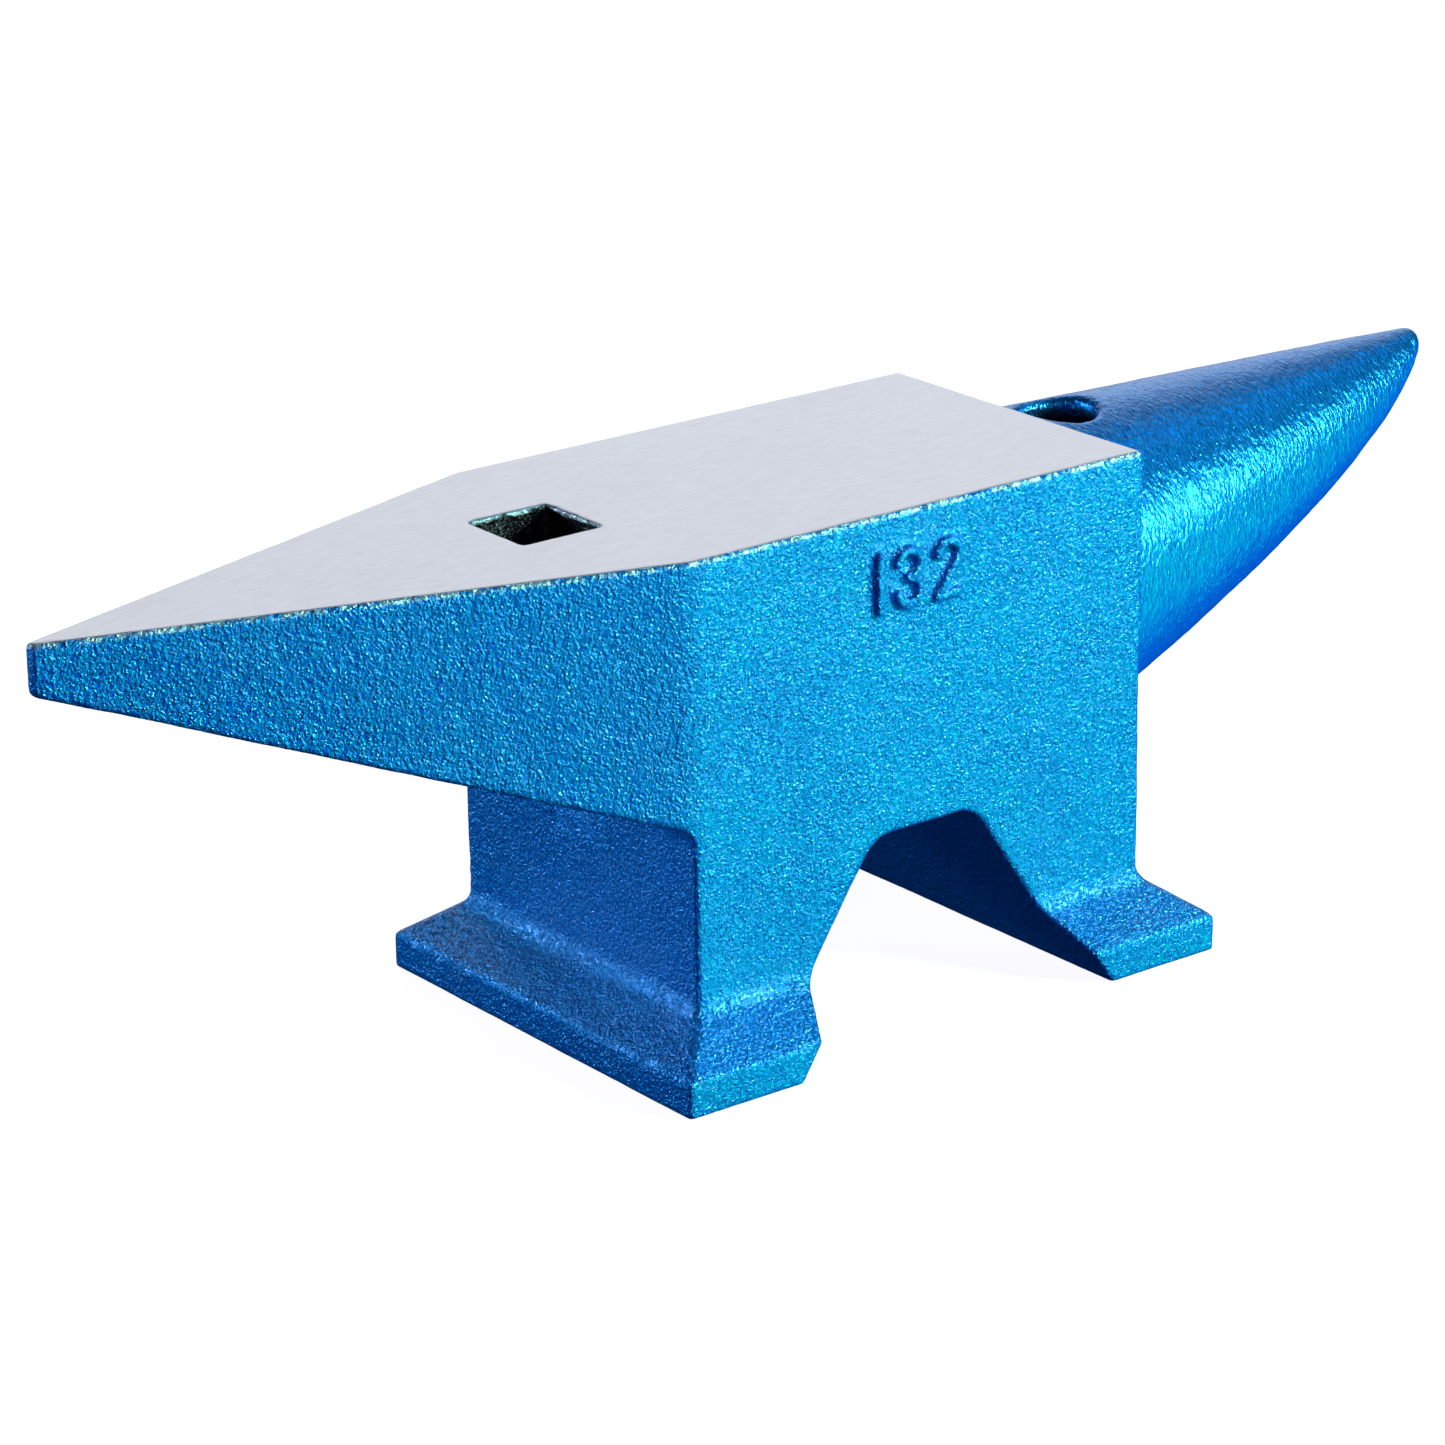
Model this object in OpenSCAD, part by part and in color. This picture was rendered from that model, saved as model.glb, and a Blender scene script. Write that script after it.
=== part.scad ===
// Two-horn anvil with a round horn, a flat square heel and an arched base.
// Origin: middle of the floor under the whole anvil. +X points to the round horn's tip, +Z is up.

/* [Face and body] */
// Width of the face and of the body
face_w = 144; // [100:1:200]
// Height of the face above the floor
height = 198; // [160:1:260]
// Length of the straight body, without the horns
body_len = 212; // [150:1:320]
// Thickness of the hardened face plate
plate_t = 12; // [8:1:18]

/* [Heel] */
// Length of the tapered heel
heel_len = 222; // [120:1:300]
// Depth of the heel where it leaves the body
heel_root_depth = 101; // [60:1:110]
// Depth of the heel at its tip
heel_tip_depth = 18.5; // [18.5:0.5:50]
// Width of the heel at its tip
heel_tip_w = 5; // [4:0.5:60]

/* [Horn] */
// Length of the round horn
horn_len = 212; // [120:1:300]
// Radius of the horn where it leaves the body
horn_root_r = 64; // [40:1:68]
// How far the horn's top line starts below the face
horn_drop = 1; // [0:0.5:10]
// How much further the top line falls from the root to the tip
horn_fall = 3; // [0:0.5:20]
// Fullness of the horn: 0.5 is blunt, 1 is a straight cone
horn_power = 0.647; // [0.5:0.001:1]

/* [Base] */
// Height of the upright rim round the foot of the base
rim_h = 14; // [8:0.5:25]
// Height at which the foot's sloping top meets the body
flare_h = 29.5; // [26:0.5:50]
// How far the base stands out beyond the body, at each end
overhang_x = 20.5; // [5:0.5:40]
// How far the base stands out beyond the body, on each side
overhang_y = 21.5; // [5:0.5:40]
// Height of the arch between the two feet
arch_h = 75.5; // [50:0.5:90]
// Width of the flat roof of the arch
arch_roof_w = 46; // [20:1:80]
// Width of the arch at the floor
arch_floor_w = 147; // [80:1:160]

/* [Holes] */
// Side of the square hardie hole
hardie_side = 34; // [20:0.5:40]
// How far the hardie hole runs on into the end of the body
hardie_bite = 2; // [1:0.5:4]
// How far that groove runs down below the heel
hardie_groove = 21; // [5:1:40]
// Diameter of the round pritchel hole
pritchel_d = 30; // [14:1:32]
// Distance of the pritchel hole's axis from the end of the body
pritchel_x = 19; // [18:1:40]

/* [Weight mark] */
// Height of the raised digits
digit_h = 24; // [14:1:30]
// Width of a digit's stroke
stroke_w = 4; // [3:0.25:5]
// How far the digits stand out of the side
digit_raise = 2.5; // [1:0.25:4]

/* [Hidden] */
$fn = 96;
over = 1;                                     // how far a cutter runs past the face it cuts

total_len = heel_len + body_len + horn_len;
heel_tip_x = -total_len / 2;                  // tip of the heel
root_x = heel_tip_x + heel_len;               // heel end of the body
end_x = root_x + body_len;                    // horn end of the body
mid_x = (root_x + end_x) / 2;                 // middle of the body
plate_z = height - plate_t;                   // joint between the face plate and what carries it

hardie_x = root_x + hardie_bite - hardie_side / 2;
hardie_floor = height - heel_root_depth - hardie_groove;

horn_rings = 26;                              // rings along the horn's skin
horn_sides = 48;                              // points round each ring
horn_nose = 6;                                // length of the rounded nose
horn_virtual = horn_len + 4;                  // where the horn's curve would come to a point
horn_top = height - horn_drop;

mark_x = mid_x - 4;                           // middle of the weight mark
mark_z = height - 25;
digit_gap = 4.5;                              // space between two digits
digit_r = (digit_h + stroke_w) / 4;           // outer radius of a digit's round stretches
mark_w = stroke_w + 4 * digit_r + 2 * digit_gap;

// ---- shared outlines ----

// Plan of the ground face: the straight body and the tapering heel
module face_plan() {
    polygon([
        [heel_tip_x, -heel_tip_w / 2],
        [root_x, -face_w / 2],
        [end_x, -face_w / 2],
        [end_x, face_w / 2],
        [root_x, face_w / 2],
        [heel_tip_x, heel_tip_w / 2]
    ]);
}

// Square cutter of the hardie hole, down to where its groove in the body ends
module hardie_cut() {
    translate([hardie_x - hardie_side / 2, -hardie_side / 2, hardie_floor])
        cube([hardie_side, hardie_side, height - hardie_floor + over]);
}

// A side outline in X and Z, extruded across the whole width w
module across(w) {
    translate([0, w / 2, 0])
        rotate([90, 0, 0])
            linear_extrude(height = w)
                children();
}

// ---- upper pieces ----

// Hardened plate that carries the ground face over the body and the heel
module face_plate() {
    color("silver")
        difference() {
            translate([0, 0, plate_z])
                linear_extrude(height = plate_t)
                    face_plan();
            hardie_cut();
        }
}

// Block between the face plate and the feet
module body() {
    color("dodgerblue")
        difference() {
            translate([root_x, -face_w / 2, arch_h])
                cube([body_len, face_w, plate_z - arch_h]);
            hardie_cut();
        }
}

// Tapering square heel under the face plate
module heel() {
    color("dodgerblue")
        difference() {
            intersection() {
                translate([0, 0, height - heel_root_depth - over])
                    linear_extrude(height = heel_root_depth)
                        face_plan();
                across(face_w + 2 * over)
                    polygon([
                        [heel_tip_x, height - heel_tip_depth],
                        [root_x, height - heel_root_depth],
                        [root_x, plate_z],
                        [heel_tip_x, plate_z]
                    ]);
            }
            hardie_cut();
        }
}

// Radius of the horn's long curve at distance x from the body, and of its skin, rounded off at the nose
function horn_curve(x) = horn_root_r * pow(1 - x / horn_virtual, horn_power);
function horn_r(x) = horn_curve(x) * sqrt(1 - pow(max(0, x - horn_len + horn_nose) / horn_nose, 2));

// Height of the horn's centre line: circles hang from a nearly level top line
function horn_z(x) = horn_top - horn_fall * x / horn_len - horn_curve(x);

// Round horn, a skin of rings that grow closer together towards the nose
module horn() {
    tip_gap = 0.02;
    xs = [for (i = [0 : horn_rings]) (horn_len - tip_gap) * sin(90 * i / horn_rings)];
    skin = [for (x = xs, j = [0 : horn_sides - 1])
        let (a = 360 * j / horn_sides)
        [end_x + x, horn_r(x) * cos(a), horn_z(x) + horn_r(x) * sin(a)]];
    sides = [for (i = [0 : horn_rings - 1], j = [0 : horn_sides - 1])
        let (k = (j + 1) % horn_sides, a = i * horn_sides, b = a + horn_sides)
        [a + j, b + j, b + k, a + k]];
    root_cap = [[for (j = [0 : horn_sides - 1]) j]];
    tip_cap = [[for (j = [horn_sides - 1 : -1 : 0]) horn_rings * horn_sides + j]];
    color("royalblue")
        difference() {
            polyhedron(points = skin, faces = concat(root_cap, tip_cap, sides), convexity = 4);
            translate([end_x + pritchel_x, 0, 0])
                cylinder(h = height + over, d = pritchel_d);
        }
}

// ---- base ----

// Pyramid frustum of the base's sloping top, its rim and the body's legs
module base_block() {
    low_x = body_len + 2 * overhang_x;
    low_y = face_w + 2 * overhang_y;
    translate([mid_x, 0, 0]) {
        translate([-body_len / 2, -face_w / 2, 0])
            cube([body_len, face_w, arch_h]);
        intersection() {
            translate([-low_x / 2, -low_y / 2, 0])
                cube([low_x, low_y, flare_h]);
            across(low_y)
                polygon([
                    [-low_x / 2, 0], [low_x / 2, 0], [low_x / 2, rim_h],
                    [body_len / 2, flare_h], [-body_len / 2, flare_h], [-low_x / 2, rim_h]
                ]);
            rotate([0, 0, 90])
                across(low_x)
                    polygon([
                        [-low_y / 2, 0], [low_y / 2, 0], [low_y / 2, rim_h],
                        [face_w / 2, flare_h], [-face_w / 2, flare_h], [-low_y / 2, rim_h]
                    ]);
        }
    }
}

// One foot: the part of the base on one side of the arch; side is -1 for the heel, 1 for the horn
module foot(side) {
    low_x = body_len / 2 + overhang_x + over;
    low_y = face_w + 2 * overhang_y + 2 * over;
    color("deepskyblue")
        intersection() {
            base_block();
            translate([mid_x, 0, 0])
                across(low_y)
                    polygon([
                        [side * arch_floor_w / 2, 0],
                        [side * low_x, 0],
                        [side * low_x, arch_h],
                        [side * arch_roof_w / 2, arch_h]
                    ]);
        }
}

module heel_side_foot() {
    foot(-1);
}

module horn_side_foot() {
    foot(1);
}

// ---- weight mark ----

// Ring stroke of outer radius r, kept between the angles a0 and a1 (less than 180 apart)
module arc_stroke(r, a0, a1) {
    reach = 4 * r;
    intersection() {
        difference() {
            circle(r = r);
            circle(r = r - stroke_w);
        }
        polygon([
            [0, 0],
            [reach * cos(a0), reach * sin(a0)],
            [reach * cos((a0 + a1) / 2), reach * sin((a0 + a1) / 2)],
            [reach * cos(a1), reach * sin(a1)]
        ]);
    }
}

// Straight stroke from p to q with round ends
module bar_stroke(p, q) {
    d = q - p;
    translate(p)
        circle(d = stroke_w);
    translate(q)
        circle(d = stroke_w);
    translate(p)
        rotate(atan2(d[1], d[0]))
            translate([0, -stroke_w / 2])
                square([norm(d), stroke_w]);
}

// The digits stand on the line y = 0, each centred on x = 0
module digit_one() {
    bar_stroke([0, stroke_w / 2], [0, digit_h - stroke_w / 2]);
}

module digit_three() {
    for (y = [digit_r, digit_h - digit_r])
        translate([0, y]) {
            arc_stroke(digit_r, -90, 0);
            arc_stroke(digit_r, 0, 90);
        }
    translate([0, digit_r])
        arc_stroke(digit_r, -170, -90);
    translate([0, digit_h - digit_r])
        arc_stroke(digit_r, 90, 170);
}

module digit_two() {
    w = digit_r - stroke_w / 2;
    turn = -35;
    translate([0, digit_h - digit_r]) {
        arc_stroke(digit_r, turn, 90);
        arc_stroke(digit_r, 90, 170);
    }
    bar_stroke([-w, stroke_w / 2], [w * cos(turn), digit_h - digit_r + w * sin(turn)]);
    bar_stroke([-w, stroke_w / 2], [w, stroke_w / 2]);
}

// Raised number on the near side of the body
module weight_mark() {
    color("deepskyblue")
        translate([mark_x, -face_w / 2, mark_z - digit_h / 2])
            rotate([90, 0, 0])
                linear_extrude(height = digit_raise) {
                    translate([(stroke_w - mark_w) / 2, 0])
                        digit_one();
                    translate([stroke_w + digit_gap + digit_r - mark_w / 2, 0])
                        digit_three();
                    translate([mark_w / 2 - digit_r, 0])
                        digit_two();
                }
}

face_plate();
body();
heel();
horn();
heel_side_foot();
horn_side_foot();
weight_mark();
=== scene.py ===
"""Two-horn anvil, painted metallic blue over rough cast steel, with a ground working face.

The casting is one continuous skin, worked out as a distance field with real fillets and casting roughness.
Each CAD node's piece is its own closed part of that skin, cut where the CAD says, so no seam shows.
"""

import math

import bmesh
import bpy
import numpy as np
from mathutils import Matrix, Vector


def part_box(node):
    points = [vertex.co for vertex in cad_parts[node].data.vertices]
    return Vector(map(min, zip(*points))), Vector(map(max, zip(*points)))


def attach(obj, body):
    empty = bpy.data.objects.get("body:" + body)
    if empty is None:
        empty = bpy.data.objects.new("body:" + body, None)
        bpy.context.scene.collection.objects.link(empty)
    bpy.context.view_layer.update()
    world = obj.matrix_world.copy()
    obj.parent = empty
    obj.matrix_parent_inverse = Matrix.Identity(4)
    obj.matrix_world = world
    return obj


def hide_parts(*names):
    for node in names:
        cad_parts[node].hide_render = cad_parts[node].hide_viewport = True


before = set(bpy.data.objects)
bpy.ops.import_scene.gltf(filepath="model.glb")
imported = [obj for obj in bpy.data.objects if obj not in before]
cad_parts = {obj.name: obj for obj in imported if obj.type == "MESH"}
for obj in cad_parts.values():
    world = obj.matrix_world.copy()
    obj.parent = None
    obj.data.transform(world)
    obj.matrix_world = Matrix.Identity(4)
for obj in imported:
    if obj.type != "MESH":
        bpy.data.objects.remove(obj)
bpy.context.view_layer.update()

MM = 0.001
X, Y, Z = 0, 1, 2

# ---------------------------------------------------------------- sizes, from the frame


def edge_of(node, axis, at, of_axis, pick=max):
    """Highest (or lowest) value of of_axis among the node's vertices where axis has the value at."""
    return pick(v.co[of_axis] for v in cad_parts[node].data.vertices
                if abs(v.co[axis] - at) < 0.1 * MM)


block_lo, block_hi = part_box("body")
plate_lo, plate_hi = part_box("face_plate")
heel_lo, heel_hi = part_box("heel")
horn_lo, horn_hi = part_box("horn")
foot_lo, foot_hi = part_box("heel_side_foot")
far_foot_lo, far_foot_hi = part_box("horn_side_foot")
mark_lo, mark_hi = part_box("weight_mark")

FACE_Z = plate_hi.z                              # the ground face
PLATE_Z = plate_lo.z                             # joint between face plate and body
ARCH_Z = block_lo.z                              # roof of the arch, joint between body and feet
ROOT_X = block_lo.x                              # heel end of the body
END_X = block_hi.x                               # horn end of the body
MID_X = (ROOT_X + END_X) / 2
HALF_L = (END_X - ROOT_X) / 2
HALF_W = block_hi.y
TIP_X = heel_lo.x                                # tip of the heel
TIP_HALF_W = edge_of("heel", X, TIP_X, Y)
TIP_UNDER_Z = edge_of("heel", X, TIP_X, Z, min)
HEEL_UNDER_Z = heel_lo.z                         # underside of the heel where it leaves the body

HORN_END = horn_hi.x
HORN_LEN = HORN_END - END_X
HORN_R = (horn_hi.z - horn_lo.z) / 2
HORN_TOP = horn_hi.z
HORN_FALL = 3 * MM                               # fall of the top line from root to tip
HORN_POWER = 0.647                               # below 1, so the horn swells before its tip
HORN_VIRTUAL = HORN_LEN + 4 * MM                 # where the curve would come to a point

RIM_X = MID_X - foot_lo.x                        # half the base's length
RIM_Y = foot_hi.y
RIM_Z = edge_of("heel_side_foot", X, foot_lo.x, Z)
FLARE_Z = 29.5 * MM                              # where the sloping top of a foot meets the body
ARCH_ROOF = MID_X - foot_hi.x                    # half the arch's width at its roof
ARCH_FLOOR = MID_X - edge_of("heel_side_foot", Z, 0.0, X)

HARDIE_HALF = 17 * MM
HARDIE_X = ROOT_X + 2 * MM - HARDIE_HALF
HARDIE_GROOVE = 21 * MM                          # how far its core marks the end wall below the heel
PRITCHEL_R = 15 * MM
PRITCHEL_X = END_X + 19 * MM
BELOW_HORN = (FLARE_Z + horn_lo.z) / 2           # height of the gap between the horn and the foot

STROKE = 4 * MM                                  # width of a digit's stroke
DIGIT_H = mark_hi.z - mark_lo.z
DIGIT_RAISE = -HALF_W - mark_lo.y
BOWL = (DIGIT_H - STROKE) / 4                    # radius of a digit's round centre lines
BOWL_OUT = BOWL + STROKE / 2
DIGIT_GAP = (mark_hi.x - mark_lo.x - STROKE - 4 * BOWL_OUT) / 2

SHRINK = 0.3 * MM                                # keeps the rough skin inside the CAD's box
GRIND = 1.1 * MM                                 # how much of the casting's top the grinding took off

# ---------------------------------------------------------------- distance fields


def round_max(a, b, r):
    """Intersection of two fields, with a rounded outer edge of radius r."""
    return np.minimum(-r, np.maximum(a, b)) + np.hypot(np.maximum(r + a, 0), np.maximum(r + b, 0))


def round_min(a, b, r):
    """Union of two fields, with a fillet of radius r in the inner corner."""
    return np.maximum(r, np.minimum(a, b)) - np.hypot(np.maximum(r - a, 0), np.maximum(r - b, 0))


def beside(u, v, p, q):
    """Signed distance from the line through p and q in the plane (u, v): positive on its left."""
    du, dv = q[0] - p[0], q[1] - p[1]
    return ((v - p[1]) * du - (u - p[0]) * dv) / math.hypot(du, dv)


def smooth(t):
    """0 to 1, easing in and out."""
    t = np.clip(t, 0, 1)
    return t * t * (3 - 2 * t)


def plan_field(x, y):
    """Plan of the body and the tapering heel."""
    straight = round_max(np.abs(y) - HALF_W, x - END_X, 2.5 * MM)
    taper = beside(x, np.abs(y), (TIP_X, TIP_HALF_W), (ROOT_X, HALF_W))
    plan = round_max(straight, taper, 1.6 * MM)
    return round_max(plan, TIP_X - x, 1.2 * MM)


def profile_field(x, z):
    """Side outline of the heel and the body, open towards the floor."""
    under = -beside(x, z, (TIP_X, TIP_UNDER_Z), (ROOT_X, HEEL_UNDER_Z))
    heel = round_max(under, TIP_X - x, 2.5 * MM)
    return round_min(heel, ROOT_X - x, 4.5 * MM)


def upper_field(x, y, z):
    """Body and heel as cast, a little higher than the ground face."""
    shape = round_max(plan_field(x, y), profile_field(x, z), 1.8 * MM)
    return round_max(shape, z - (FACE_Z + GRIND), 4 * MM)


def base_field(x, y, z):
    """Rim and sloping top of the base, before the arch is cut."""
    ax, ay = np.abs(x - MID_X), np.abs(y)
    slope_x = beside(ax, z, (HALF_L, FLARE_Z), (RIM_X, RIM_Z))
    slope_y = beside(ay, z, (HALF_W, FLARE_Z), (RIM_Y, RIM_Z))
    side_x = round_max(ax - RIM_X, slope_x, 1.6 * MM)
    side_y = round_max(ay - RIM_Y, slope_y, 1.6 * MM)
    return round_max(side_x, side_y, 2 * MM)


def horn_field(x, y, z):
    """Round horn: circles that hang from a nearly level top line."""
    along = np.clip(x - END_X, 0, HORN_LEN)
    left = 1 - along / HORN_VIRTUAL
    r = HORN_R * left ** HORN_POWER
    slope = HORN_POWER * HORN_R / HORN_VIRTUAL * left ** (HORN_POWER - 1)
    rise = z - (HORN_TOP - HORN_FALL * along / HORN_LEN - r)
    radial = np.hypot(y, rise)
    steep = slope * (1 - rise / np.maximum(radial, MM))
    cone = (radial - r) / np.sqrt(1 + steep ** 2)
    nose = round_max(cone, x - HORN_END, 4 * MM)
    return np.maximum(nose, END_X - 8 * MM - x)


def arch_field(x, z):
    """Space under the arch, open at the floor: negative inside."""
    wall = beside(np.abs(x - MID_X), z, (ARCH_ROOF, ARCH_Z), (ARCH_FLOOR, 0))
    return round_max(wall, z - ARCH_Z, 5 * MM)


def hardie_field(x, y, z):
    """Square hole and the groove that its core leaves in the end wall: negative inside."""
    side = round_max(np.abs(x - HARDIE_X) - HARDIE_HALF, np.abs(y) - HARDIE_HALF, 1.5 * MM)
    below = HEEL_UNDER_Z - z
    fading = side + np.maximum(below, 0) * (2 * MM / HARDIE_GROOVE)
    return np.maximum(fading, below - HARDIE_GROOVE)


def bar_distance(u, v, p, q):
    """Distance from the straight line between p and q."""
    du, dv = q[0] - p[0], q[1] - p[1]
    along = np.clip(((u - p[0]) * du + (v - p[1]) * dv) / (du * du + dv * dv), 0, 1)
    return np.hypot(u - p[0] - along * du, v - p[1] - along * dv)


def arc_distance(u, v, centre_v, start, end):
    """Distance from an arc of radius BOWL about (0, centre_v), between two angles in degrees."""
    turn = np.degrees(np.arctan2(v - centre_v, u)) - (start + end) / 2
    ring = np.abs(np.hypot(u, v - centre_v) - BOWL)
    ends = [np.hypot(u - BOWL * math.cos(math.radians(a)), v - centre_v - BOWL * math.sin(math.radians(a)))
            for a in (start, end)]
    within = np.abs((turn + 180) % 360 - 180) <= (end - start) / 2
    return np.where(within, ring, np.minimum(*ends))


def digits_distance(x, z):
    """Distance from the centre lines of the digits 1, 3 and 2, in the plane of the side."""
    v = z - mark_lo.z
    foot, top = STROKE / 2, DIGIT_H - STROKE / 2
    low, high = foot + BOWL, top - BOWL
    one = bar_distance(x - (mark_lo.x + STROKE / 2), v, (0, foot), (0, top))
    u = x - (mark_lo.x + STROKE + DIGIT_GAP + BOWL_OUT)
    three = np.minimum(arc_distance(u, v, low, -170, 90), arc_distance(u, v, high, -90, 170))
    u = x - (mark_hi.x - BOWL_OUT)
    turn = math.radians(-35)
    diagonal = bar_distance(u, v, (-BOWL, foot), (BOWL * math.cos(turn), high + BOWL * math.sin(turn)))
    two = np.minimum(arc_distance(u, v, high, -35, 170), diagonal)
    two = np.minimum(two, bar_distance(u, v, (-BOWL, foot), (BOWL, foot)))
    return np.minimum(one, np.minimum(three, two))


def mark_field(x, y, z):
    """The raised digits, rooted a little inside the near side."""
    raised = round_max(digits_distance(x, z) - STROKE / 2, -y - HALF_W - DIGIT_RAISE, 1.5 * MM)
    return np.maximum(raised, y + HALF_W - 3 * MM)


def cast_field(x, y, z):
    """The whole casting before it is ground, without its roughness."""
    solid = round_min(upper_field(x, y, z), base_field(x, y, z), 4 * MM)
    solid = round_max(solid, -arch_field(x, z), 2.5 * MM)
    fillet = 1.5 * MM + 7 * MM * smooth((FACE_Z - z) / (60 * MM))
    solid = round_min(solid, horn_field(x, y, z), fillet)
    pritchel = np.maximum(np.hypot(x - PRITCHEL_X, y) - PRITCHEL_R, BELOW_HORN - z)
    solid = round_max(solid, -pritchel, 4.5 * MM)
    solid = round_max(solid, -hardie_field(x, y, z), 1.2 * MM)
    if x.max() > mark_lo.x and x.min() < mark_hi.x and z.max() > mark_lo.z:
        solid = round_min(solid, mark_field(x, y, z), 1.5 * MM)
    return solid + SHRINK


# ---------------------------------------------------------------- roughness

TABLE = 256
rng = np.random.default_rng(7)
shuffle = rng.permutation(TABLE)
arrows = rng.normal(size=(TABLE, 3))
arrows /= np.linalg.norm(arrows, axis=1)[:, None]


def noise(points, size):
    """Gradient noise between about -1 and 1, with lumps of the given size (one number or three)."""
    q = points / np.asarray(size)
    cell = np.floor(q).astype(np.int64)
    f = q - cell
    ease = f * f * f * (f * (f * 6 - 15) + 10)
    total = np.zeros(len(points))
    for corner in [(i, j, k) for i in (0, 1) for j in (0, 1) for k in (0, 1)]:
        slot = shuffle[(cell[:, X] + corner[X]) % TABLE]
        slot = shuffle[(slot + cell[:, Y] + corner[Y]) % TABLE]
        slot = shuffle[(slot + cell[:, Z] + corner[Z]) % TABLE]
        weight = np.prod(np.where(corner, ease, 1 - ease), axis=1)
        total += weight * ((f - corner) * arrows[slot]).sum(1)
    return total * 1.6


def roughness(points):
    """How far the sand-cast skin stands off the smooth shape."""
    lumps = noise(points, 34 * MM) * 0.22 + noise(points + 1, 11 * MM) * 0.13
    grain = noise(points + 2, 4.6 * MM) * 0.085 + noise(points + 3, 2.5 * MM) * 0.05
    return (lumps + grain) * MM


def rough(field, x, y, z):
    """Adds the roughness to a field's values near its surface."""
    values = field(x, y, z)
    near = np.abs(values) < 3 * MM
    i, j, k = np.nonzero(near)
    points = np.stack([x[i, 0, 0], y[0, j, 0], z[0, 0, k]], 1)
    values[near] += roughness(points)
    return values


def anvil_field(x, y, z):
    """The casting, ground flat on top and cut flat underneath."""
    ground = np.maximum(rough(cast_field, x, y, z), z - FACE_Z)
    return round_max(ground, -z, 1 * MM)


def digits_field(x, y, z):
    """The digits as a piece of their own, a hair proud of the same shapes on the body."""
    return rough(mark_field, x, y, z) + SHRINK - 0.12 * MM


# ---------------------------------------------------------------- from a field to a mesh


def surface_nets(values, origin, step):
    """Vertices and outward quads of the surface where the grid of values crosses zero."""
    nx, ny, nz = values.shape
    inside = values < 0
    box = [(i, j, k) for i in (0, 1) for j in (0, 1) for k in (0, 1)]
    count = sum(inside[i:nx - 1 + i, j:ny - 1 + j, k:nz - 1 + k].astype(np.int8) for i, j, k in box)
    cells = np.argwhere((count > 0) & (count < 8))
    index = np.full((nx - 1, ny - 1, nz - 1), -1, np.int32)
    index[tuple(cells.T)] = np.arange(len(cells))
    total = np.zeros((len(cells), 3))
    crossings = np.zeros(len(cells))
    for axis in (X, Y, Z):
        for a in (c for c in box if c[axis] == 0):
            b = tuple(c + (t == axis) for t, c in enumerate(a))
            va, vb = values[tuple((cells + a).T)], values[tuple((cells + b).T)]
            hit = (va < 0) != (vb < 0)
            share = va[hit] / (va[hit] - vb[hit])
            total[hit] += np.array(a) + share[:, None] * (np.array(b) - np.array(a))
            crossings[hit] += 1
    points = origin + step * (cells + total / crossings[:, None])
    quads = []
    for axis in (X, Y, Z):
        u, w = (axis + 1) % 3, (axis + 2) % 3
        first, second = [slice(1, -1)] * 3, [slice(1, -1)] * 3
        first[axis], second[axis] = slice(0, -1), slice(1, None)
        a, b = inside[tuple(first)], inside[tuple(second)]
        for crossing, flip in ((a & ~b, False), (~a & b, True)):
            edge = np.argwhere(crossing)
            edge[:, u] += 1
            edge[:, w] += 1
            ring = []
            for du, dw in ((-1, -1), (0, -1), (0, 0), (-1, 0)):
                cell = edge.copy()
                cell[:, u] += du
                cell[:, w] += dw
                ring.append(index[tuple(cell.T)])
            quads.append(np.stack(ring[::-1] if flip else ring, 1))
    return points, np.concatenate(quads)


MARGIN = 3                                       # steps of skin past each side, which the cuts take off


def skin(lo, hi, step, field):
    """bmesh of the field's closed surface in a box, on a lattice that all pieces share.

    Its vertices remember the skin's smooth normal, how deep the grinding went, and how dark the holes are
    coloured: unpainted scale in the square hole, painted shade in the round one.
    """
    start = np.floor(np.array(lo) / step).astype(int) - MARGIN - 2
    stop = np.ceil(np.array(hi) / step).astype(int) + MARGIN + 2
    rows = [(np.arange(a, b + 1) + 0.37) * step for a, b in zip(start, stop)]
    x, y, z = rows[X][:, None, None], rows[Y][None, :, None], rows[Z][None, None, :]
    values = field(x, y, z)
    for axis, row in enumerate((x, y, z)):
        first, last = rows[axis][1] + step / 2, rows[axis][-2] - step / 2
        values = np.maximum(values, np.maximum(first - row, row - last))
    points, quads = surface_nets(values, np.array([row[0] for row in rows]), step)
    mesh = bpy.data.meshes.new("skin")
    mesh.from_pydata(points.tolist(), [], quads.tolist())
    mesh.update()
    normals = np.zeros(points.size)
    mesh.vertex_normals.foreach_get("vector", normals)
    depth = np.zeros(len(points))
    top = points[:, Z] > FACE_Z - 0.3 * MM
    if top.any():
        cast = cast_field(*points[top].T) + roughness(points[top])
        depth[top] = np.clip(-cast / MM, 0, 5)
    mesh.attributes.new("skin_normal", "FLOAT_VECTOR", "POINT").data.foreach_set("vector", normals)
    mesh.attributes.new("ground", "FLOAT", "POINT").data.foreach_set("value", depth)
    x, y, z = points.T
    bare = smooth((1.4 * MM - hardie_field(x, y, z)) / (0.5 * MM)) * (z > HEEL_UNDER_Z + 4 * MM)
    # painted shade: the round hole's inside is coloured darker with depth below the horn's top
    inside_hole = (np.hypot(x - PRITCHEL_X, y) < PRITCHEL_R + 2 * MM) & (z < HORN_TOP - 2 * MM)
    bare = np.maximum(bare, 0.9 * inside_hole * smooth((HORN_TOP - 3 * MM - z) / (7 * MM)))
    mesh.attributes.new("bare", "FLOAT", "POINT").data.foreach_set("value", bare)
    bm = bmesh.new()
    bm.from_mesh(mesh)
    bpy.data.meshes.remove(mesh)
    return bm


CAP = 1                                          # material slot of the hidden joint faces


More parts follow.
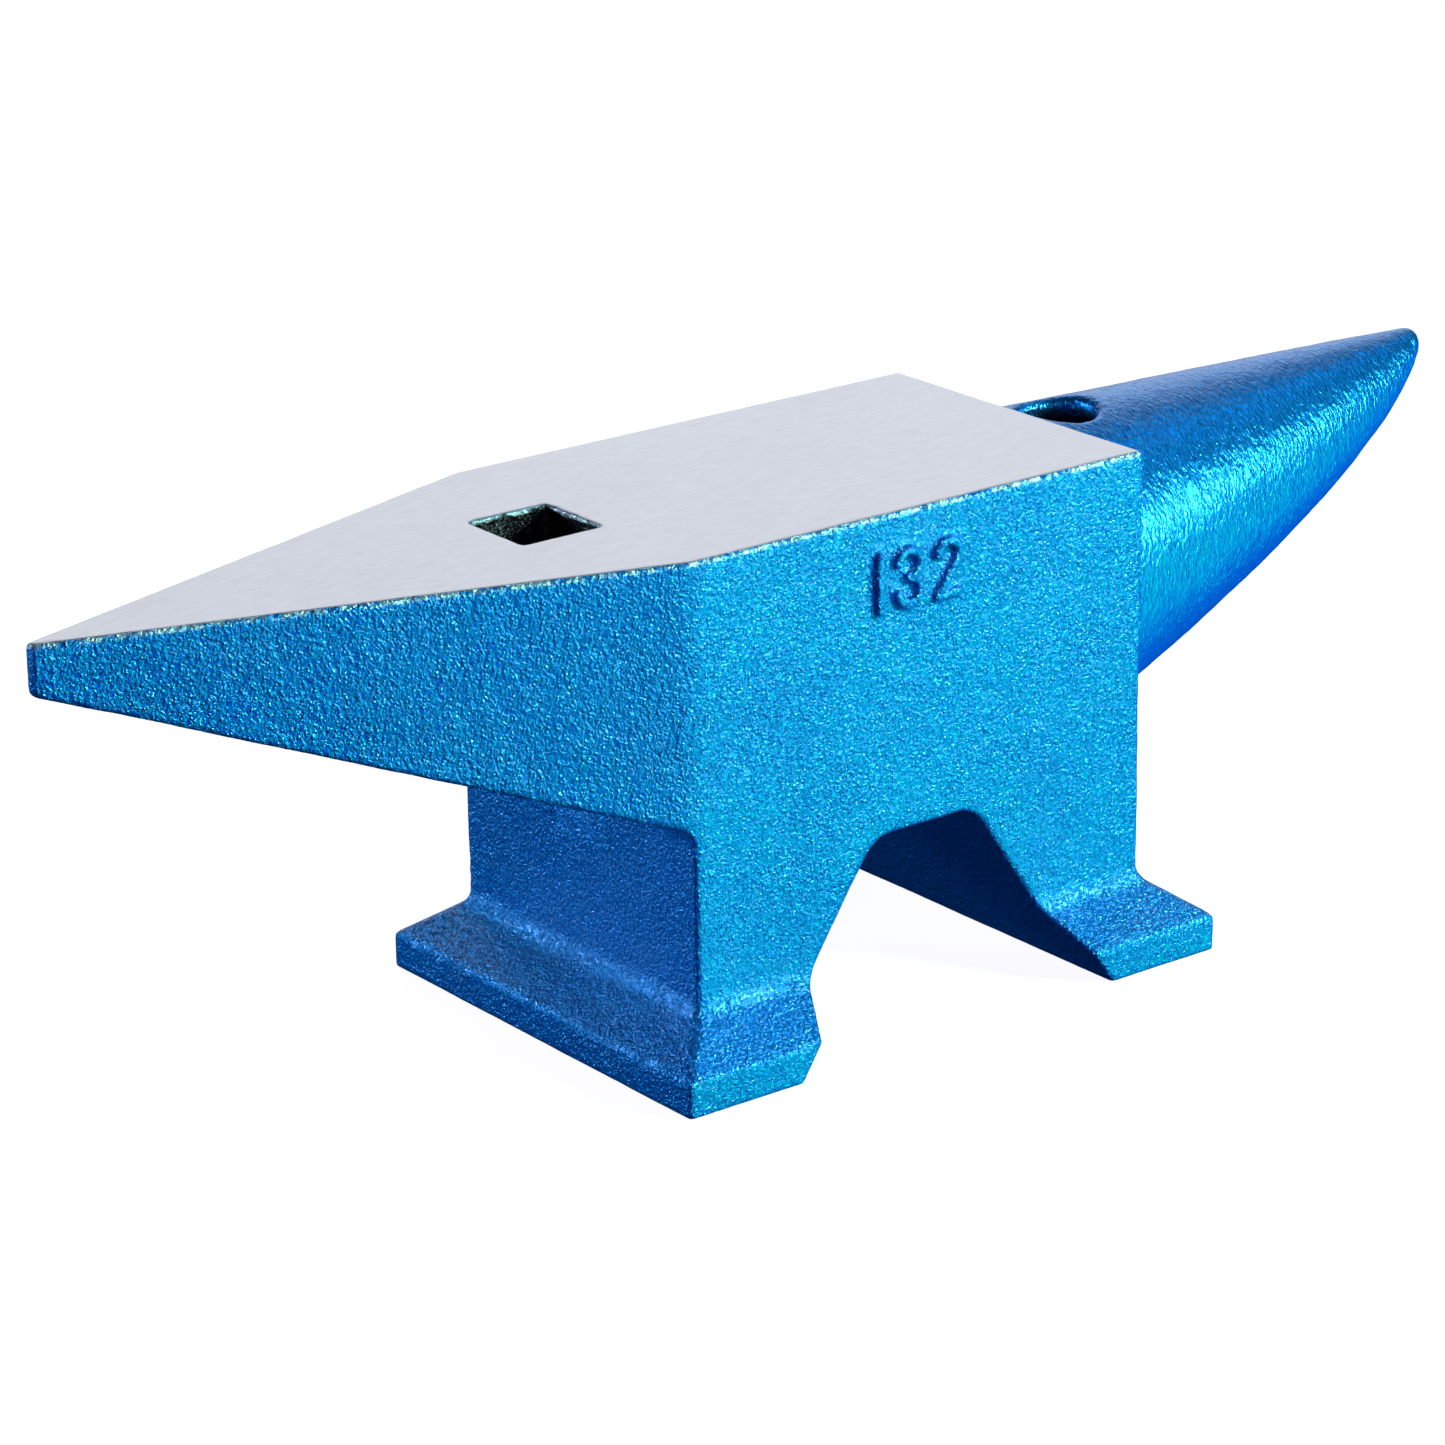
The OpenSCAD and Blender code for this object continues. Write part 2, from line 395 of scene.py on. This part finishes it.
def close_cut(bm, normal):
    """Caps the open loops that a cut has left."""
    loops = [edge for edge in bm.edges if edge.is_boundary]
    if loops:
        made = bmesh.ops.triangle_fill(bm, use_beauty=True, edges=loops, normal=Vector(normal))
        for face in made["geom"]:
            if isinstance(face, bmesh.types.BMFace):
                face.material_index = CAP


def cut(bm, axis, at, side):
    """Keeps what lies below (side -1) or above (side 1) the plane where axis has the value at."""
    normal = Vector([0, 0, 0])
    normal[axis] = -side
    point = Vector([0, 0, 0])
    point[axis] = at
    bmesh.ops.bisect_plane(bm, geom=bm.verts[:] + bm.edges[:] + bm.faces[:], dist=1e-7,
                           plane_co=point, plane_no=normal, clear_outer=True)
    close_cut(bm, normal)


def drop_beyond(bm, at, above):
    """Takes off the horn's root where a foot's piece reaches past the end of the body."""
    bmesh.ops.bisect_plane(bm, geom=bm.verts[:] + bm.edges[:] + bm.faces[:], dist=1e-7,
                           plane_co=Vector((at, 0, 0)), plane_no=Vector((1, 0, 0)))
    gone = [f for f in bm.faces if f.calc_center_median().x > at and f.calc_center_median().z > above]
    bmesh.ops.delete(bm, geom=gone, context="FACES")
    close_cut(bm, (1, 0, 0))


def set_normals(mesh):
    """Smooth normals from the whole skin, so that no joint shows, and flat ones on the joint faces."""
    mesh.shade_smooth()
    corner_vertex = np.zeros(len(mesh.loops), np.int32)
    mesh.loops.foreach_get("vertex_index", corner_vertex)
    stored = np.zeros(len(mesh.vertices) * 3)
    mesh.attributes["skin_normal"].data.foreach_get("vector", stored)
    normals = stored.reshape(-1, 3)[corner_vertex]
    flat = np.zeros(len(mesh.polygons) * 3)
    mesh.polygon_normals.foreach_get("vector", flat)
    corners = np.zeros(len(mesh.polygons), np.int32)
    mesh.polygons.foreach_get("loop_total", corners)
    slots = np.zeros(len(mesh.polygons), np.int32)
    mesh.polygons.foreach_get("material_index", slots)
    capped = np.repeat(slots == CAP, corners)
    normals[capped] = np.repeat(flat.reshape(-1, 3), corners, axis=0)[capped]
    mesh.normals_split_custom_set(normals.tolist())
    mesh.attributes.remove(mesh.attributes["skin_normal"])


def finish_piece(bm, name, node, materials):
    """Turns a cut skin into a closed piece that stands for a CAD node."""
    bmesh.ops.recalc_face_normals(bm, faces=bm.faces)
    mesh = bpy.data.meshes.new(name)
    bm.to_mesh(mesh)
    bm.free()
    for material in materials:
        mesh.materials.append(material)
    set_normals(mesh)
    piece = bpy.data.objects.new(name, mesh)
    bpy.context.scene.collection.objects.link(piece)
    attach(piece, "root")
    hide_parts(node)


# ---------------------------------------------------------------- materials


def new_material(name):
    """A material with a Principled shader: the material, its node tree and the shader."""
    material = bpy.data.materials.new(name)
    material.use_nodes = True
    return material, material.node_tree, material.node_tree.nodes["Principled BSDF"]


def node(tree, kind, **settings):
    """Adds a node; a setting names a property, or an input by its name with spaces as underscores."""
    made = tree.nodes.new(kind)
    for key, value in settings.items():
        if hasattr(made, key):
            setattr(made, key, value)
        else:
            made.inputs[key.replace("_", " ")].default_value = value
    return made


def map_range(tree, value, source, target=(0, 1), interpolation_type="LINEAR"):
    """Socket with the value mapped from one range onto another."""
    made = node(tree, "ShaderNodeMapRange", interpolation_type=interpolation_type)
    made.inputs["From Min"].default_value, made.inputs["From Max"].default_value = source
    made.inputs["To Min"].default_value, made.inputs["To Max"].default_value = target
    tree.links.new(value, made.inputs["Value"])
    return made.outputs["Result"]


def ramp(tree, value, low, high, places=(0, 1)):
    """Socket with a colour that runs from low to high between two places of the value."""
    made = node(tree, "ShaderNodeValToRGB")
    for stop, place, colour in zip(made.color_ramp.elements, places, (low, high)):
        stop.position = place
        stop.color = (*colour, 1)
    tree.links.new(value, made.inputs["Fac"])
    return made.outputs["Color"]


def mix(tree, kind, factor, a, b):
    """Socket that goes from a to b with the factor; b is a socket or a plain colour."""
    made = node(tree, "ShaderNodeMix", data_type=kind)
    tree.links.new(factor, made.inputs["Factor"])
    tree.links.new(a, made.inputs["A"])
    if isinstance(b, tuple):
        made.inputs["B"].default_value = (*b, 1)
    else:
        tree.links.new(b, made.inputs["B"])
    return made.outputs["Result"]


def product(tree, a, b):
    """Socket with two values multiplied."""
    made = node(tree, "ShaderNodeMath", operation="MULTIPLY")
    tree.links.new(a, made.inputs[0])
    tree.links.new(b, made.inputs[1])
    return made.outputs[0]


def texture(tree, place, kind, **settings):
    """Adds a texture node at a place."""
    made = node(tree, kind, **settings)
    tree.links.new(place, made.inputs["Vector"])
    return made


def stretched(tree, scale):
    """Socket with the object's coordinates, scaled along each axis."""
    made = node(tree, "ShaderNodeMapping")
    made.inputs["Scale"].default_value = scale
    tree.links.new(node(tree, "ShaderNodeTexCoord").outputs["Object"], made.inputs["Vector"])
    return made.outputs["Vector"]


PAINT_RELIEF = 1.1 * MM                          # height of the paint's fine wrinkles
PAINT_COAT = 0.8                                 # weight of its clear coat
HOLE_SCALE_AND_SHADE_TONE = (0.012, 0.011, 0.013)                # near-black of the holes: unpainted scale in the square hole, painted shade deep in the round hole


def paint_nodes(tree, stretch=(1, 1, 1), relief=PAINT_RELIEF):
    """Blue metallic paint over sand-cast steel: colour, roughness and normal sockets."""
    link = tree.links.new
    place = stretched(tree, stretch)
    wrinkles = texture(tree, place, "ShaderNodeTexNoise", Scale=540, Detail=3, Roughness=0.6, Distortion=0.8)
    grains = texture(tree, place, "ShaderNodeTexVoronoi", feature="SMOOTH_F1", Scale=620, Smoothness=0.3)
    patches = texture(tree, place, "ShaderNodeTexNoise", Scale=26, Detail=3, Roughness=0.6).outputs["Fac"]
    rise = map_range(tree, grains.outputs["Distance"], (0.5, 0.1), interpolation_type="SMOOTHSTEP")
    height = node(tree, "ShaderNodeMath", operation="MULTIPLY_ADD")
    height.inputs[1].default_value = 0.5
    link(product(tree, rise, grains.outputs["Color"]), height.inputs[0])
    link(wrinkles.outputs["Fac"], height.inputs[2])
    bump = node(tree, "ShaderNodeBump", Distance=relief)
    link(height.outputs[0], bump.inputs["Height"])
    link(map_range(tree, patches, (0.35, 0.65), (0.8, 1.0)), bump.inputs["Strength"])
    tone = ramp(tree, height.outputs[0], (0.003, 0.20, 0.66), (0.008, 0.34, 0.84), (0.35, 0.85))
    # bare: near-black of the holes, unpainted scale in the square one and painted shade in the round one
    bare = node(tree, "ShaderNodeAttribute", attribute_name="bare").outputs["Fac"]
    colour = mix(tree, "RGBA", bare, tone, HOLE_SCALE_AND_SHADE_TONE)
    shine = map_range(tree, patches, (0, 1), (0.34, 0.28))
    return colour, shine, bump.outputs["Normal"]


def dress_shader(tree, shader, colour, shine, normal, coat):
    """Links the sockets that the paint and the ground face have in common."""
    for socket, name in ((colour, "Base Color"), (shine, "Roughness"), (normal, "Normal"),
                         (normal, "Coat Normal")):
        tree.links.new(socket, shader.inputs[name])
    shader.inputs["Metallic"].default_value = 0.85
    shader.inputs["Specular IOR Level"].default_value = 0.3
    shader.inputs["Coat Weight"].default_value = coat
    shader.inputs["Coat Roughness"].default_value = 0.08


def paint_material(name, stretch=(1, 1, 1), relief=PAINT_RELIEF, coat=PAINT_COAT):
    material, tree, shader = new_material(name)
    dress_shader(tree, shader, *paint_nodes(tree, stretch, relief), coat)
    return material


def face_material():
    """Paint on the plate's sides with a painted highlight broken along their top edge, ground steel where
    the grinding went through the casting's skin.
    """
    material, tree, shader = new_material("ground_face")
    link = tree.links.new
    colour, shine, normal = paint_nodes(tree)
    place = node(tree, "ShaderNodeTexCoord").outputs["Object"]
    depth = node(tree, "ShaderNodeAttribute", attribute_name="ground").outputs["Fac"]
    mask = map_range(tree, depth, (0.12, 0.3))

    # fine grinding lines along the anvil
    along = stretched(tree, (0.06, 1, 1))
    lines = texture(tree, along, "ShaderNodeTexNoise", Scale=1600, Detail=4, Roughness=0.7).outputs["Fac"]
    steel = ramp(tree, lines, (0.52, 0.52, 0.57), (0.72, 0.72, 0.78), (0.3, 0.7))
    scratches = node(tree, "ShaderNodeBump", Distance=0.06 * MM)
    link(lines, scratches.inputs["Height"])

    # painted highlight: broken strips of pale colour along the top edge of the painted sides, where the
    # rounded edge catches the light
    height = node(tree, "ShaderNodeSeparateXYZ")
    link(place, height.inputs["Vector"])
    edge_glint_band = map_range(tree, height.outputs["Z"], (FACE_Z - 2.2 * MM, FACE_Z - 0.9 * MM),
                          interpolation_type="SMOOTHSTEP")
    edge_glint_noise = texture(tree, place, "ShaderNodeTexNoise", Scale=210, Detail=5, Roughness=0.7)
    edge_glint_breakup = map_range(tree, edge_glint_noise.outputs["Fac"], (0.42, 0.55), interpolation_type="SMOOTHSTEP")
    side = mix(tree, "RGBA", product(tree, edge_glint_band, edge_glint_breakup), colour, (0.60, 0.78, 0.86))

    colour = mix(tree, "RGBA", mask, side, steel)
    normal = mix(tree, "VECTOR", mask, normal, scratches.outputs["Normal"])
    dress_shader(tree, shader, colour, shine, normal, PAINT_COAT)
    return material


def bare_material():
    """Bare cast steel of the joint faces, which nobody sees."""
    material, tree, shader = new_material("bare_steel")
    place = node(tree, "ShaderNodeTexCoord").outputs["Object"]
    mottle = texture(tree, place, "ShaderNodeTexNoise", Scale=300, Detail=5)
    tone = ramp(tree, mottle.outputs["Fac"], (0.09, 0.09, 0.10), (0.32, 0.32, 0.34))
    tree.links.new(tone, shader.inputs["Base Color"])
    shader.inputs["Metallic"].default_value = 1.0
    shader.inputs["Roughness"].default_value = 0.55
    return material


# ---------------------------------------------------------------- camera, lights and floor


def add_camera():
    """Three-quarter view from the heel's end of the near side, from a little above."""
    azimuth, elevation, roll = (math.radians(a) for a in (-37.43, 19.69, -0.77))
    target = Vector((ROOT_X + 0.116 * 2 * HALF_L, -0.782 * HALF_W, 0.6545 * FACE_Z))
    back = Vector((math.sin(azimuth) * math.cos(elevation), -math.cos(azimuth) * math.cos(elevation),
                   math.sin(elevation)))
    camera = bpy.data.objects.new("camera", bpy.data.cameras.new("camera"))
    bpy.context.scene.collection.objects.link(camera)
    turn = back.to_track_quat("Z", "Y").to_matrix() @ Matrix.Rotation(roll, 3, "Z")
    camera.matrix_world = turn.to_4x4()
    camera.location = target + back * 1.747
    camera.data.sensor_width = 36
    camera.data.lens = 122.34
    camera.data.clip_start = 0.05
    bpy.context.scene.camera = camera


def add_softbox(name, direction, distance, size, power, colour):
    """A rectangular softbox that faces the anvil from a direction."""
    light = bpy.data.lights.new(name, "AREA")
    light.shape = "RECTANGLE"
    light.size, light.size_y = size
    light.energy = power
    light.color = colour
    lamp = bpy.data.objects.new(name, light)
    bpy.context.scene.collection.objects.link(lamp)
    away = Vector(direction).normalized()
    lamp.location = Vector((MID_X, 0, FACE_Z / 2)) + away * distance
    lamp.rotation_euler = away.to_track_quat("Z", "Y").to_euler()
    lamp.visible_camera = False


def add_world(ambient, lobes):
    """Soft surroundings: an even tone, and a glow about each direction.

    Each lobe is its direction, the angles in degrees where it starts to fade and is gone, and its colour.
    """
    world = bpy.data.worlds.new("studio")
    world.use_nodes = True
    tree = world.node_tree
    link = tree.links.new
    view = node(tree, "ShaderNodeTexCoord").outputs["Generated"]
    total = None
    for direction, inner, outer, colour in lobes:
        aim = node(tree, "ShaderNodeVectorMath", operation="DOT_PRODUCT")
        aim.inputs[1].default_value = Vector(direction).normalized()
        link(view, aim.inputs[0])
        span = math.cos(math.radians(outer)), math.cos(math.radians(inner))
        glow = map_range(tree, aim.outputs["Value"], span, interpolation_type="SMOOTHSTEP")
        tint = node(tree, "ShaderNodeVectorMath", operation="SCALE")
        tint.inputs[0].default_value = colour
        link(glow, tint.inputs["Scale"])
        add = node(tree, "ShaderNodeVectorMath", operation="ADD")
        link(tint.outputs[0], add.inputs[0])
        if total is None:
            add.inputs[1].default_value = ambient
        else:
            link(total, add.inputs[1])
        total = add.outputs[0]
    link(total, tree.nodes["Background"].inputs["Color"])
    bpy.context.scene.world = world


def add_floor():
    """Plain pale floor; it throws no light back up, so the underside and the arch stay dark."""
    half = 8.0
    corners = [(-half, -half, 0), (half, -half, 0), (half, half, 0), (-half, half, 0)]
    mesh = bpy.data.meshes.new("floor")
    mesh.from_pydata(corners, [], [(0, 1, 2, 3)])
    floor = bpy.data.objects.new("floor", mesh)
    bpy.context.scene.collection.objects.link(floor)
    material, tree, shader = new_material("pale_floor")
    shader.inputs["Base Color"].default_value = (0.55, 0.5, 0.5, 1)
    shader.inputs["Roughness"].default_value = 0.9
    shader.inputs["Specular IOR Level"].default_value = 0
    shader.inputs["Emission Color"].default_value = (1, 0.98, 0.98, 1)
    shader.inputs["Emission Strength"].default_value = 0.93
    mesh.materials.append(material)
    floor.visible_diffuse = False
    floor.visible_glossy = False
    floor.visible_shadow = False


def add_studio():
    add_softbox("key_softbox", (0.57, -0.75, 0.37), 1.6, (0.56, 0.26), 28, (0.60, 1.0, 0.86))
    add_softbox("back_softbox", (-0.64, 0.74, 0.22), 1.9, (0.5, 0.12), 11, (0.7, 0.9, 1))
    add_softbox("top_softbox", (0.57, -0.12, 0.82), 2.0, (0.8, 0.8), 5, (0.1, 0.75, 1))
    add_world((0.0, 0.008, 0.026), (
        ((0.57, 0.75, 0.33), 4, 34, (1.04, 1.05, 1.10)),
        ((0.62, -0.70, -0.38), 3, 34, (0.0, 2.75, 0.78)),
        ((0.85, 0.0, -0.50), 5, 48, (0.0, 0.14, 0.85)),
        ((0.00, -0.94, -0.34), 0, 36, (0.0, 0.0, 1.0)),
        ((-0.62, 0.72, -0.20), 8, 48, (0.0, 0.13, 0.34)),
        ((-0.57, -0.75, 0.45), 4, 32, (0.40, 0.44, 0.48)),
    ))
    add_floor()
    bpy.context.scene.view_settings.view_transform = "Standard"


# ---------------------------------------------------------------- the anvil


def build():
    """Every piece: its part of the skin, cut at the CAD's joints."""
    step = 1.0 * MM
    blue, face, bare = paint_material("blue_paint"), face_material(), bare_material()
    horn_blue = paint_material("blue_paint_horn", (0.9, 0.5, 0.5), 0.7 * MM, 0.35)

    bm = skin(plate_lo, plate_hi, step, anvil_field)
    cut(bm, Z, PLATE_Z, 1)
    cut(bm, X, END_X, -1)
    finish_piece(bm, "face_plate_ground", "face_plate", (face, bare))

    bm = skin(block_lo, block_hi, step, anvil_field)
    for axis, at, side in ((Z, PLATE_Z, -1), (Z, ARCH_Z, 1), (X, ROOT_X, 1), (X, END_X, -1)):
        cut(bm, axis, at, side)
    finish_piece(bm, "body_block", "body", (blue, bare))

    below = Vector((0, 0, 10 * MM))              # room for the fillet under the heel's root
    bm = skin(heel_lo - below, heel_hi, step, anvil_field)
    cut(bm, Z, PLATE_Z, -1)
    cut(bm, X, ROOT_X, -1)
    finish_piece(bm, "square_heel", "heel", (face, bare))

    around = Vector((0, 10 * MM, 12 * MM))       # room for the fillet round the horn's root
    bm = skin(horn_lo - around, horn_hi, step, anvil_field)
    cut(bm, X, END_X, 1)
    finish_piece(bm, "round_horn", "horn", (horn_blue, bare))

    bm = skin(foot_lo, foot_hi, step, anvil_field)
    cut(bm, Z, ARCH_Z, -1)
    finish_piece(bm, "foot_under_heel", "heel_side_foot", (blue, bare))

    bm = skin(far_foot_lo, far_foot_hi, step, anvil_field)
    cut(bm, Z, ARCH_Z, -1)
    drop_beyond(bm, END_X, BELOW_HORN)
    finish_piece(bm, "foot_under_horn", "horn_side_foot", (blue, bare))

    rooted = Vector((0, 3 * MM, 0))              # the digits reach a little into the body
    bm = skin(mark_lo, mark_hi + rooted, 0.5 * MM, digits_field)
    finish_piece(bm, "raised_digits", "weight_mark", (blue, bare))


add_camera()
add_studio()
build()
